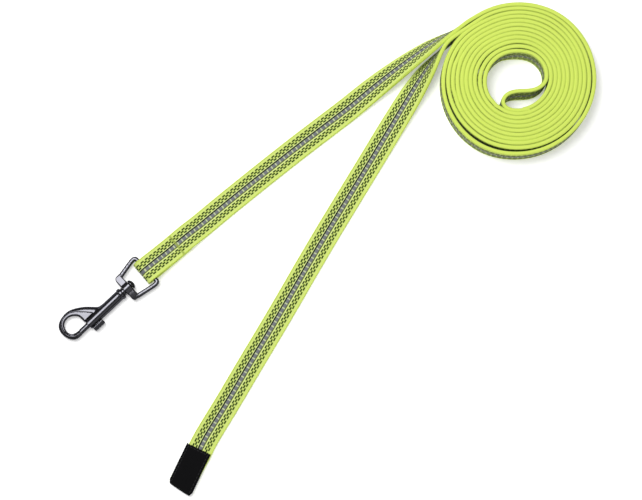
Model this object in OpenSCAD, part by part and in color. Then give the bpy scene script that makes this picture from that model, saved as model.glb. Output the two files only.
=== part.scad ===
// Long training leash: 20 mm webbing with a swivel bolt snap at one end and a
// sewn fabric cap at the other, wound on edge into a double spiral coil.
// Everything lies on the plane z = 0.

/* [Strap] */
// Width of the webbing
strap_w = 20; // [18:0.5:20]
// Thickness of the webbing
strap_t = 3; // [2.6:0.1:3]
// Outside radius of the wound coil
coil_r = 62.4; // [60:0.2:64]
// Radius of the open eye in the middle of the coil
coil_hole_r = 23; // [20:0.5:24]

/* [Loop round the swivel eye] */
// Inside radius of the sewn fold
fold_r = 2; // [1.95:0.05:2.2]
// Distance from the fold to the end of the tail
tail_len = 39; // [36:1:39]
// Distance from the fold to the bar tack
tack_at = 32; // [30:0.5:34]

/* [End cap] */
// Length of the folded fabric cap
cap_len = 36; // [30:1:40]
// Thickness of the cap fabric
cap_t = 0.8; // [0.6:0.1:1]

/* [Bolt snap] */
// Direction that the snap lies in, from its nose to its swivel
snap_angle = 44; // [42:0.5:46]
// Height of the barrel's axis over the floor
axis_z = 4.8; // [4.8:0.1:5]
// Outside radius of the barrel
barrel_r = 4.25; // [4:0.05:4.4]
// Length of the barrel up to its collar
barrel_len = 34.3; // [33:0.1:35]
// Radius of the collar behind the barrel
collar_r = 4.8; // [4.4:0.1:4.8]
// Radius of the bore that the bolt slides in
bore_r = 2.3; // [2.2:0.05:2.4]
// Radial clearance of the bolt in its bore
bolt_gap = 0.08; // [0.04:0.01:0.1]
// Length that the bolt travels
bolt_travel = 8.5; // [6:0.5:8.5]
// Thickness of the hook
hook_t = 5; // [4:0.1:5.4]
// Thickness of the recessed web beside the hook's rib
web_t = 2.6; // [2:0.1:3]

/* [Swivel eye] */
// Radius of the eye's round wire
eye_wire_r = 1.65; // [1.5:0.05:1.7]
// Distance from the barrel's mouth to the eye's far bar
far_bar_u = 63.3; // [63:0.1:64]
// Radial clearance of the rivet in the eye
swivel_gap = 0.08; // [0.04:0.01:0.1]

/* [Hidden] */
$fn = 64;

green = [0.78, 0.92, 0.36];
black_cloth = [0.05, 0.05, 0.06];
dark_metal = [0.16, 0.16, 0.18];

// Everything is laid out about the middle of the coil's run and then moved so
// that the origin is under the middle of the object's box.
shift = [-6.2, -1.9, 0];
coil_c = [158, 136];
bight_c = [159, 135];
mouth = [-184.5, -60.6];
loop_c = [-139.4, -17.4];
loop_angle = 40.5;

// Routes of the two free stretches: x, y, lean in degrees (0 flat, 90 on edge)
// and lift over the floor.
hook_route = [
    [-109.1, 8.6, 0, 3], [-103, 13.8, 0, 1.6], [-97, 18.7, 0, 0.2], [-78.6, 34.3, 0, 0],
    [-58.7, 50.7, 0, 0], [-39, 66.7, 0, 0], [-19, 82.7, 0, 0], [1.5, 98.6, 0, 0],
    [21.9, 114.4, 2, 0], [40, 129.1, 12, 0], [55.9, 141.4, 25, 0], [71.8, 153.1, 39, 0],
    [87.5, 164.1, 54, 0], [97.5, 170.5, 67, 0], [107.3, 176.4, 79, 0], [117.2, 182.6, 88, 0],
    [126.5, 188.2, 90, 0]
];
end_route = [
    [-110.9, -190.4, 0, 0.8], [-103.7, -175.8, 0, 0.8], [-96.6, -161.3, 0, 0.8],
    [-90.1, -148.9, 0, 0.2], [-73.7, -121.7, 0, 0], [-58, -94.8, 0, 0], [-42.1, -68, 0, 0],
    [-26.4, -41.1, 0, 0], [-10.9, -14, 0, 0], [5, 13.2, 0, 0], [21.7, 41, 0, 0],
    [38.6, 69, 1, 0], [55.2, 96.6, 6, 0], [70, 120.8, 19, 0], [80.2, 136.8, 38, 0],
    [88.1, 148.3, 58, 0], [94.9, 158, 78, 0], [100.9, 165.4, 89, 0], [107.9, 171, 90, 0],
    [116.2, 176.7, 90, 0], [124, 181.5, 90, 0]
];
// Route of the middle of the strap across the open eye of the coil
bight_route = [
    [22.6, 4, 90, 0], [21.6, -1.4, 90, 0], [17.8, -5.6, 90, 0], [11.8, -8.3, 90, 0],
    [5.6, -9, 90, 0], [-1, -8.9, 90, 0], [-7, -9.9, 90, 0], [-11.6, -12.6, 90, 0],
    [-14, -16.3, 90, 0], [-14.2, -19.8, 90, 0], [-12, -23.2, 90, 0]
];

// Outline of the hook, from the barrel round the outside to the nose and back
// round the inside: u along the barrel from its mouth, v across.
hook_outer = [
    [19.5, 3.6], [15.3, 5.4], [11.5, 9.1], [7.7, 12.7], [3, 16], [-1.7, 18.4], [-5.6, 19.3],
    [-9.4, 19.2], [-13.3, 18.3], [-16.7, 16.5], [-18.8, 14.1], [-19.8, 11.4], [-20, 8.5],
    [-19.7, 5.6], [-18.9, 3], [-17.5, 0.7], [-15.6, -1.2], [-13.1, -2.2], [-10.7, -2.4], [-8.4, -2.4]
];
hook_inner = [
    [-8.4, 2], [-9.8, 2.1], [-11.4, 2.4], [-12.9, 2.9], [-14.1, 3.8], [-15.2, 5.2], [-15.8, 6.9],
    [-15.7, 8.7], [-15.2, 10.4], [-14.6, 12], [-13.5, 13.4], [-12, 14.4], [-10.4, 14.9],
    [-8.6, 15.1], [-6.9, 14.9], [-4.4, 13.8], [-2.2, 11.9], [-1, 10], [-0.6, 7], [-0.6, 3.8]
];
rib_inner = [
    [9, 4.8], [8.1, 5.7], [5.4, 8.9], [2.5, 11.9], [0.2, 14.2], [-2.2, 15.9], [-4.4, 16.9],
    [-6.7, 17.4], [-8.7, 17.5], [-10.7, 17.2], [-12.6, 16.4], [-14.2, 15.2], [-15, 13.6], [-15.1, 11.6]
];

function unit(v) = v / norm(v);
function mix(a, b, k) = a + (b - a) * k;
function ease(k) = k * k * (3 - 2 * k);
function rev(a) = [for (i = [len(a) - 1:-1:0]) a[i]];
// Point at k between a and b on the smooth curve through p, a, b, q
function curve(p, a, b, q, k) =
    0.5 * (2 * a + (b - p) * k + (2 * p - 5 * a + 4 * b - q) * k * k + (3 * a - p - 3 * b + q) * k * k * k);
function smooth(r, n) = let (m = len(r) - 1) concat(
    [for (i = [0:m - 1]) for (j = [0:n - 1])
        curve(r[max(i - 1, 0)], r[i], r[i + 1], r[min(i + 2, m)], j / n)],
    [r[m]]);
// Middle line of a ribbon whose lower edge stays at its lift
function mid(r) = [r[0], r[1], r[3] + strap_w / 2 * sin(r[2]) + strap_t / 2 * cos(r[2])];
function heading(p, i) = unit(p[min(i + 1, len(p) - 1)] - p[max(i - 1, 0)]);
function corners(p, h, lean) =
    let (w = cos(lean) * unit([h.y, -h.x, 0]) + sin(lean) * [0, 0, 1], n = unit(cross(w, h)))
    [for (s = [[1, 1], [1, -1], [-1, -1], [-1, 1]]) p + w * s.x * strap_w / 2 + n * s.y * strap_t / 2];
function loft_faces(rings, n) = concat(
    [[for (j = [0:n - 1]) j]],
    [[for (j = [n - 1:-1:0]) (rings - 1) * n + j]],
    [for (i = [0:rings - 2]) for (j = [0:n - 1]) for (k = [0, 1])
        let (a = i * n + j, b = i * n + (j + 1) % n)
        k == 0 ? [a, a + n, b] : [b, a + n, b + n]]);

// A strap laid along a route, square in section
module ribbon(route) {
    p = [for (r = route) mid(r)];
    ring_pts = [for (i = [0:len(p) - 1]) each corners(p[i], heading(p, i), route[i][2])];
    polyhedron(ring_pts, loft_faces(len(p), 4), convexity = 6);
}

module in_place() translate(shift) children();
module at_snap() in_place() translate([mouth.x, mouth.y, axis_z]) rotate([0, 0, snap_angle]) children();
module along_u(u0, u1, r1, r2) translate([u0, 0, 0]) rotate([0, 90, 0]) cylinder(h = u1 - u0, r1 = r1, r2 = r2);
module at_loop() in_place() translate([loop_c.x, loop_c.y, 0]) rotate([0, 0, loop_angle]) children();
module rod(a, b, r) translate(a) rotate([0, acos((b - a).z / norm(b - a)), atan2((b - a).y, (b - a).x)])
    cylinder(h = norm(b - a), r = r, $fn = 32);

// Webbing folded round the eye's far bar and sewn back on itself
fold_out = fold_r + strap_t;
loop_flat = 28;
module loop_profile() {
    square([tail_len, strap_t]);
    intersection() {
        translate([0, fold_out]) difference() { circle(fold_out); circle(fold_r); }
        translate([-2 * fold_out, -1]) square([2 * fold_out, 2 * fold_out + 2]);
    }
    low = [for (i = [0:14]) [loop_flat * i / 14, mix(2 * fold_out - strap_t, strap_t, ease(i / 14))]];
    polygon(concat(low, [[40, strap_t], [40, 2 * strap_t]], rev([for (p = low) [p.x, p.y + strap_t]])));
}
module strap_loop() color(green)
    at_loop() rotate([90, 0, 0]) linear_extrude(strap_w, center = true) loop_profile();

module strap_hook_run() color(green) in_place() ribbon(smooth(hook_route, 1));
module strap_end_run() color(green) in_place() ribbon(smooth(end_route, 1));
module strap_bight() color(green) in_place() translate([bight_c.x, bight_c.y, 0]) ribbon(smooth(bight_route, 2));

// The wound turns, as one ring of their outer shape
module strap_coil() color(green) in_place() translate([coil_c.x, coil_c.y, 0]) difference() {
    cylinder(h = strap_w, r = coil_r, $fn = 128);
    translate([-1.6, -2, -1]) cylinder(h = strap_w + 2, r = coil_hole_r, $fn = 96);
}

// Bar tack: a dense row of slanted stitches through both layers of the loop
tack_n = 16;
tack_pitch = 1.15;
module tack_stitching() color(green) at_loop() for (z = [0.3, 2 * strap_t - 0.1]) for (i = [0:tack_n - 1]) {
    y = (i - (tack_n - 1) / 2) * tack_pitch;
    rod([tack_at - 1, y - 0.2, z], [tack_at + 1, y + 0.2, z], 0.28);
}

// Fabric strip folded over the cut end
cap_from = [-110.9, -190.4];
cap_angle = 64.4;
cap_w = 20.4;
module at_cap() in_place() translate([cap_from.x, cap_from.y, 0]) rotate([0, 0, cap_angle]) children();
module end_cap() color(black_cloth) at_cap() translate([0, 0.5, 0]) difference() {
    intersection() {
        translate([-1.2, -cap_w / 2, 0]) cube([cap_len, cap_w, strap_t + 2 * cap_t]);
        union() {
            translate([1.4, -cap_w / 2, 0]) cube([cap_len, cap_w, strap_t + 2 * cap_t]);
            for (s = [-1, 1]) translate([1, s * (cap_w / 2 - 2.2), 0]) cylinder(h = strap_t + 2 * cap_t, r = 2.2);
            translate([-1.2, -cap_w / 2 + 2.2, 0]) cube([3, cap_w - 4.4, strap_t + 2 * cap_t]);
        }
    }
    translate([0, -cap_w, cap_t]) cube([cap_len, 2 * cap_w, strap_t]);
}

// Seam round the cap's edge
seam_pitch = 3;
module stitch(a, b, z) rod([a.x, a.y, z], [b.x, b.y, z], 0.25);
module cap_stitching() color(black_cloth) at_cap() for (z = [0.3, strap_t + 2 * cap_t - 0.1]) {
    for (i = [0:10], s = [-1, 1])
        stitch([1.2 + i * seam_pitch, 0.5 + s * 8.6], [3.2 + i * seam_pitch, 0.5 + s * 8.6], z);
    for (i = [0:4]) stitch([33.2, -6.5 + i * seam_pitch], [33.2, -4.5 + i * seam_pitch], z);
}

// Cast eye: a drilled base bar, two spreading arms and a round far bar
eye_base = [39.2, 45.5];
eye_knuckle = 0.25;
module swivel_eye() color(dark_metal) at_snap() difference() {
    union() {
        translate([0, 0, -2.6]) linear_extrude(5.2) polygon([
            [eye_base[0] + 0.2, -10.2], [eye_base[0] + 1.4, -11.8], [eye_base[1] - 0.2, -11.8],
            [eye_base[1] - 0.2, 11.8], [eye_base[0] + 1.4, 11.8], [eye_base[0] + 0.2, 10.2]]);
        along_u(eye_base[0], eye_base[1], 4.4, 4.4);
        for (s = [-1, 1]) {
            rod([43.4, s * 10.4, 0], [far_bar_u, s * 13.5, 0], eye_wire_r);
            translate([far_bar_u, s * 13.5, 0]) sphere(r = eye_wire_r + eye_knuckle, $fn = 32);
        }
        rod([far_bar_u, -13.5, 0], [far_bar_u, 13.5, 0], eye_wire_r);
    }
    along_u(eye_base[0] - 1, eye_base[1] + 1, bore_r + swivel_gap, bore_r + swivel_gap);
}

// Rivet that closes the barrel and carries the eye
module swivel_rivet() color(dark_metal) at_snap() {
    along_u(29, 46, bore_r, bore_r);
    along_u(45.8, 47.2, 4, 4);
    along_u(47.2, 48.9, 4, 2.2);
}

// Cast body: barrel, collar and hook in one piece
slot_u = [3.2, 3.2 + 5.2 + 8.5 + 0.6];
module hook_body() color(dark_metal) at_snap() difference() {
    union() {
        along_u(0, 1, barrel_r - 0.5, barrel_r);
        along_u(1, barrel_len, barrel_r, barrel_r);
        along_u(barrel_len, 37, collar_r, collar_r);
        along_u(37, 38.9, 3.5, 3.5);
        difference() {
            translate([0, 0, -hook_t / 2]) linear_extrude(hook_t)
                polygon(concat(hook_outer, hook_inner, [[1, 3.4], [1, 2], [19.5, 2]]));
            for (s = [0, 1]) mirror([0, 0, s]) translate([0, 0, web_t / 2]) linear_extrude(hook_t)
                polygon(concat(rib_inner, [[-14.4, 11.8], [-12, 13], [-7, 13], [-2, 9], [-1.5, 4.8]]));
        }
    }
    along_u(-1, 40, bore_r, bore_r);
    translate([slot_u[0], -barrel_r - 1, -1.5]) cube([slot_u[1] - slot_u[0], barrel_r, 3]);
}

// Spring bolt, flat at its tip, with a pocket for the tab's stalk
tab_stalk = [3.5, 8.6];
module snap_bolt() color(dark_metal) at_snap() difference() {
    along_u(-8.2, 12, bore_r - bolt_gap, bore_r - bolt_gap);
    translate([tab_stalk[0], -4, -1.2]) cube([tab_stalk[1] - tab_stalk[0], 3, 2.4]);
}

// Thumb tab with its stalk through the slot
module thumb_tab() color(dark_metal) at_snap() {
    translate([tab_stalk[0], -4.8, -1.2]) cube([tab_stalk[1] - tab_stalk[0], 3.8, 2.4]);
    difference() {
        translate([1.1, -8.1, -2.6]) cube([10, 3.5, 5.2]);
        for (i = [0:2]) translate([3.4 + i * 2.7, -8.4, -3]) cylinder(h = 6, r = 0.7);
        for (s = [-1, 1]) translate([0, -8.6, s * 3.1]) rotate([0, 90, 0]) cylinder(h = 12, r = 1);
    }
}

// Compression spring between the bolt and the rivet
spring_turns = 11;
spring_r = 1.5;
wire_r = 0.3;
spring_u = [12.4, 28.6];
module bolt_spring() color([0.6, 0.6, 0.62]) at_snap() {
    per = 12;
    n = spring_turns * per;
    pts = [for (i = [0:n]) for (j = [0:5])
        let (a = 360 * i / per, b = 60 * j, r = spring_r + wire_r * cos(b))
        [mix(spring_u[0], spring_u[1], i / n) + wire_r * sin(b), r * cos(a), r * sin(a)]];
    polyhedron(pts, loft_faces(n + 1, 6), convexity = 20);
}

strap_loop();
strap_hook_run();
strap_coil();
strap_bight();
strap_end_run();
tack_stitching();
end_cap();
cap_stitching();
swivel_eye();
swivel_rivet();
hook_body();
snap_bolt();
thumb_tab();
bolt_spring();
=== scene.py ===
import math
import bpy
import numpy as np
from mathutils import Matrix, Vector


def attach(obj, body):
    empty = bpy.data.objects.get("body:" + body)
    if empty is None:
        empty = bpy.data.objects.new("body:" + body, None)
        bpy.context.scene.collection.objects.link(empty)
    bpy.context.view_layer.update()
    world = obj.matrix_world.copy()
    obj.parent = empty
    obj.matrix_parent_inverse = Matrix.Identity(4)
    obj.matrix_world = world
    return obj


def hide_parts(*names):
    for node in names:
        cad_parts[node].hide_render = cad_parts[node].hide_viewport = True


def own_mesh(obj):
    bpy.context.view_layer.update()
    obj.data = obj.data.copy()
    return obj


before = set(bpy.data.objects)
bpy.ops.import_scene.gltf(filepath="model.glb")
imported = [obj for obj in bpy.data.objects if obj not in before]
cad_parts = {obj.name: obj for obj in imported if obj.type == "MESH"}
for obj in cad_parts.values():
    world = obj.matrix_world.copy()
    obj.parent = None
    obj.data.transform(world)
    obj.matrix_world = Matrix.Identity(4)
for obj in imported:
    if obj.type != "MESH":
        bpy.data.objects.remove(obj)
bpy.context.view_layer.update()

MM = 0.001
scene = bpy.context.scene

# ---------------------------------------------------------------- shared frame
SHIFT = np.array([-6.2, -1.9, 0.0])
MOUTH = np.array([-184.5, -60.6, 4.8]) + SHIFT
SNAP = math.radians(44.0)
U = np.array([math.cos(SNAP), math.sin(SNAP), 0.0])
V = np.array([-math.sin(SNAP), math.cos(SNAP), 0.0])
Z = np.array([0.0, 0.0, 1.0])
COIL = np.array([159.0, 135.0, 0.0]) + SHIFT
LOOP = np.array([-139.4, -17.4, 0.0]) + SHIFT
LOOP_A = math.radians(40.5)
W_STRAP, T_STRAP = 20.0, 3.0
PITCH = 4.22                      # repeat of the woven pattern, mm


def snap_point(p):
    """Snap coordinates (u along the barrel, v across, w up) to the row frame, in mm."""
    p = np.asarray(p, float)
    return MOUTH + p[..., 0:1] * U + p[..., 1:2] * V + p[..., 2:3] * Z


# ---------------------------------------------------------------- mesh helpers
def mesh_object(name, verts, faces, smooth=True):
    me = bpy.data.meshes.new(name)
    me.from_pydata([tuple(v) for v in np.asarray(verts) * MM], [], [tuple(int(i) for i in f) for f in faces])
    me.validate()
    me.update()
    if smooth:
        me.polygons.foreach_set("use_smooth", [True] * len(me.polygons))
    ob = bpy.data.objects.new(name, me)
    scene.collection.objects.link(ob)
    return ob


def catmull(points, n):
    """Points on a smooth curve through the given ones, n to a span."""
    p = np.asarray(points, float)
    q = np.vstack([2 * p[0] - p[1], p, 2 * p[-1] - p[-2]])
    out = []
    for i in range(1, len(q) - 2):
        for k in np.arange(n) / n:
            a, b, c, d = q[i - 1], q[i], q[i + 1], q[i + 2]
            out.append(0.5 * (2 * b + (c - a) * k + (2 * a - 5 * b + 4 * c - d) * k * k + (3 * b - a - 3 * c + d) * k ** 3))
    out.append(p[-1])
    return np.array(out)


def surface_nets(field, origin, h):
    """A quad mesh of field = 0, from samples on a grid. field is negative inside."""
    F = field
    ins = F < 0
    nx, ny, nz = F.shape
    cs = [(i, j, k) for i in (0, 1) for j in (0, 1) for k in (0, 1)]

    def at(a, c):
        return a[c[0]:nx - 1 + c[0], c[1]:ny - 1 + c[1], c[2]:nz - 1 + c[2]]
    total = sum(at(ins, c).astype(np.int8) for c in cs)
    active = (total > 0) & (total < 8)
    cell = np.full(active.shape, -1, np.int64)
    ids = np.argwhere(active)
    cell[active] = np.arange(len(ids))
    acc = np.zeros((len(ids), 3))
    cnt = np.zeros(len(ids))
    for a in cs:
        for ax in range(3):
            if a[ax]:
                continue
            b = list(a)
            b[ax] = 1
            fa = F[ids[:, 0] + a[0], ids[:, 1] + a[1], ids[:, 2] + a[2]]
            fb = F[ids[:, 0] + b[0], ids[:, 1] + b[1], ids[:, 2] + b[2]]
            hit = (fa < 0) != (fb < 0)
            t = np.where(hit, fa / np.where(hit, fa - fb, 1), 0)
            pos = np.array(a, float)[None, :] + t[:, None] * (np.array(b) - np.array(a))[None, :]
            acc += pos * hit[:, None]
            cnt += hit
    verts = np.array(origin) + (ids + acc / cnt[:, None]) * h
    quads = []
    for ax in range(3):
        o1, o2 = [(1, 2), (2, 0), (0, 1)][ax]
        lo = [slice(None)] * 3
        hi = [slice(None)] * 3
        lo[ax], hi[ax] = slice(0, -1), slice(1, None)
        cross = ins[tuple(lo)] != ins[tuple(hi)]
        e = np.argwhere(cross)
        ok = (e[:, o1] > 0) & (e[:, o2] > 0) & (e[:, o1] < F.shape[o1] - 1) & (e[:, o2] < F.shape[o2] - 1)
        e = e[ok]
        first = ins[e[:, 0], e[:, 1], e[:, 2]]

        def c(d1, d2):
            q = e.copy()
            q[:, o1] += d1
            q[:, o2] += d2
            return cell[q[:, 0], q[:, 1], q[:, 2]]
        quad = np.stack([c(-1, -1), c(0, -1), c(0, 0), c(-1, 0)], 1)
        quad[~first] = quad[~first][:, ::-1]
        quads.append(quad)
    quads = np.vstack(quads)
    return verts, quads[(quads >= 0).all(1)]


def settle(verts, fn, steps=3, eps=0.02):
    """Moves points onto fn = 0 along its own slope."""
    p = verts.copy()
    for _ in range(steps):
        d = fn(p)
        g = np.stack([fn(p + eps * e) - fn(p - eps * e) for e in np.eye(3)], 1) / (2 * eps)
        n = (g * g).sum(1)
        p -= np.clip(d / np.maximum(n, 0.3), -0.25, 0.25)[:, None] * g
    return p


def sdf_mesh(name, fn, lo, hi, h):
    ax = [np.arange(lo[i], hi[i] + h, h) for i in range(3)]
    g = np.stack(np.meshgrid(*ax, indexing="ij"), -1)
    shape = g.shape[:3]
    flat = g.reshape(-1, 3)
    d = np.concatenate([fn(flat[i:i + 400000]) for i in range(0, len(flat), 400000)]).reshape(shape)
    v, q = surface_nets(d, lo, h)
    v = settle(v, fn)
    e = 0.06
    g = np.stack([fn(v + e * a) - fn(v - e * a) for a in np.eye(3)], 1)
    g /= np.maximum(np.linalg.norm(g, axis=1), 1e-9)[:, None]
    ob = mesh_object(name, snap_point(v), q)
    if len(ob.data.vertices) == len(v):
        world_n = g[:, 0:1] * U + g[:, 1:2] * V + g[:, 2:3] * Z
        ob.data.normals_split_custom_set_from_vertices([tuple(n) for n in world_n])
    return ob


def smin(a, b, k):
    t = np.clip(0.5 + 0.5 * (b - a) / k, 0, 1)
    return b + (a - b) * t - k * t * (1 - t)


def smax(a, b, k):
    return -smin(-a, -b, k)


def tube_u(p, u0, u1, r, rnd=0.0):
    """Cylinder along u with rounded rims."""
    q = np.hypot(p[:, 1], p[:, 2])
    a = q - r + rnd
    b = np.abs(p[:, 0] - (u0 + u1) / 2) - (u1 - u0) / 2 + rnd
    return np.minimum(np.maximum(a, b), 0) + np.hypot(np.maximum(a, 0), np.maximum(b, 0)) - rnd


def block(p, c, half, rnd=0.0):
    q = np.abs(p - np.array(c)) - (np.array(half) - rnd)
    return np.minimum(q.max(1), 0) + np.linalg.norm(np.maximum(q, 0), axis=1) - rnd


def capsule(p, a, b, ra, rb=None, flat=2.0):
    """A rod from a to b; flat above 2 squares its section towards a rounded rectangle."""
    a, b = np.array(a, float), np.array(b, float)
    rb = ra if rb is None else rb
    d = b - a
    t = np.clip((p - a) @ d / (d @ d), 0, 1)
    q = p - a - t[:, None] * d
    across = np.hypot(q[:, 0], q[:, 1])
    return (across ** flat + np.abs(q[:, 2]) ** flat) ** (1 / flat) - (ra + (rb - ra) * t)


def outline_distance(p, poly):
    """Signed distance in the u-v plane to a closed outline, negative inside."""
    best = np.full(len(p), 1e9)
    odd = np.zeros(len(p), bool)
    x, y = p[:, 0], p[:, 1]
    for i in range(len(poly)):
        a, b = poly[i - 1], poly[i]
        e = b - a
        t = np.clip(((x - a[0]) * e[0] + (y - a[1]) * e[1]) / max(e @ e, 1e-12), 0, 1)
        best = np.minimum(best, (x - a[0] - t * e[0]) ** 2 + (y - a[1] - t * e[1]) ** 2)
        up = (a[1] > y) != (b[1] > y)
        if e[1] != 0:
            odd ^= up & (x < (e[0] * (y - a[1]) / e[1] + a[0]))
    d = np.sqrt(best)
    return np.where(odd, -d, d)


class Plan:
    """An outline's distances on a fine grid, read back by interpolation, so that a big solid is quick to sample."""

    def __init__(self, poly, lo=(-24.0, -8.0), hi=(24.0, 24.0), h=0.1):
        self.lo, self.h = np.array(lo), h
        self.n = ((np.array(hi) - self.lo) / h).astype(int) + 1
        xs = self.lo[0] + np.arange(self.n[0]) * h
        ys = self.lo[1] + np.arange(self.n[1]) * h
        g = np.stack(np.meshgrid(xs, ys, indexing="ij"), -1).reshape(-1, 2)
        self.d = outline_distance(g, poly).reshape(self.n[0], self.n[1])

    def __call__(self, p):
        q = (p[:, :2] - self.lo) / self.h
        far = np.maximum(np.maximum(-q, q - (self.n - 1.001)), 0)
        q = np.clip(q, 0, self.n - 1.001)
        i = q.astype(int)
        f = q - i
        d = self.d
        v = (d[i[:, 0], i[:, 1]] * (1 - f[:, 0]) * (1 - f[:, 1]) + d[i[:, 0] + 1, i[:, 1]] * f[:, 0] * (1 - f[:, 1])
             + d[i[:, 0], i[:, 1] + 1] * (1 - f[:, 0]) * f[:, 1] + d[i[:, 0] + 1, i[:, 1] + 1] * f[:, 0] * f[:, 1])
        return v + np.linalg.norm(far, axis=1) * self.h


# ---------------------------------------------------------------- materials
def new_material(name):
    m = bpy.data.materials.new(name)
    m.use_nodes = True
    nt = m.node_tree
    bsdf = nt.nodes["Principled BSDF"]
    return m, nt, bsdf


class Nodes:
    """Short calls for building a shader from maths."""

    def __init__(self, nt):
        self.nt = nt

    def add(self, kind, **props):
        n = self.nt.nodes.new(kind)
        for k, v in props.items():
            setattr(n, k, v)
        return n

    def put(self, sock, value):
        if isinstance(value, (int, float, tuple, list)):
            sock.default_value = value
        else:
            self.nt.links.new(value, sock)

    def math(self, op, a, b=0.0, c=0.0, clamp=False):
        n = self.add("ShaderNodeMath", operation=op, use_clamp=clamp)
        for s, v in zip(n.inputs, (a, b, c)):
            self.put(s, v)
        return n.outputs[0]

    def attribute(self, name):
        return self.add("ShaderNodeAttribute", attribute_name=name).outputs["Fac"]

    def coords(self, scale=(1, 1, 1)):
        n = self.add("ShaderNodeTexCoord")
        m = self.add("ShaderNodeMapping")
        m.inputs["Scale"].default_value = scale
        self.nt.links.new(n.outputs["Object"], m.inputs["Vector"])
        return m.outputs[0]

    def xyz(self, x, y, z=0.0):
        n = self.add("ShaderNodeCombineXYZ")
        for s, v in zip(n.inputs, (x, y, z)):
            self.put(s, v)
        return n.outputs[0]

    def noise(self, vec, scale, detail=3.0, rough=0.55):
        n = self.add("ShaderNodeTexNoise")
        self.put(n.inputs["Vector"], vec)
        n.inputs["Scale"].default_value = scale
        n.inputs["Detail"].default_value = detail
        n.inputs["Roughness"].default_value = rough
        return n.outputs["Fac"]

    def mix(self, fac, a, b):
        n = self.add("ShaderNodeMix", data_type="RGBA")
        self.put(n.inputs[0], fac)
        self.put(n.inputs[6], a if not isinstance(a, tuple) else (*a, 1.0))
        self.put(n.inputs[7], b if not isinstance(b, tuple) else (*b, 1.0))
        return n.outputs[2]

    def step(self, x, edge, soft):
        """0 below edge, 1 above it, over a width of soft."""
        n = self.add("ShaderNodeMapRange", interpolation_type="SMOOTHSTEP")
        self.put(n.inputs[0], x)
        n.inputs[1].default_value = edge - soft / 2
        n.inputs[2].default_value = edge + soft / 2
        return n.outputs[0]

    def band(self, x, centre, half, soft):
        """1 where x is within half of centre."""
        d = self.math("ABSOLUTE", self.math("SUBTRACT", x, centre))
        return self.math("SUBTRACT", 1.0, self.step(d, half, soft))

    def bump(self, height, strength, dist):
        n = self.add("ShaderNodeBump")
        self.put(n.inputs["Height"], height)
        n.inputs["Strength"].default_value = strength
        n.inputs["Distance"].default_value = dist
        return n.outputs[0]

    def up(self, *values):
        out = values[0]
        for v in values[1:]:
            out = self.math("ADD", out, v)
        return out

    def top(self, *values):
        out = values[0]
        for v in values[1:]:
            out = self.math("MAXIMUM", out, v)
        return out


ROWS = [(6.47, 0.0), (5.0, 0.5), (3.55, 0.0)]     # dash rows: distance from the middle, phase
DASH, ROW_HALF = 0.64, 0.60


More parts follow.
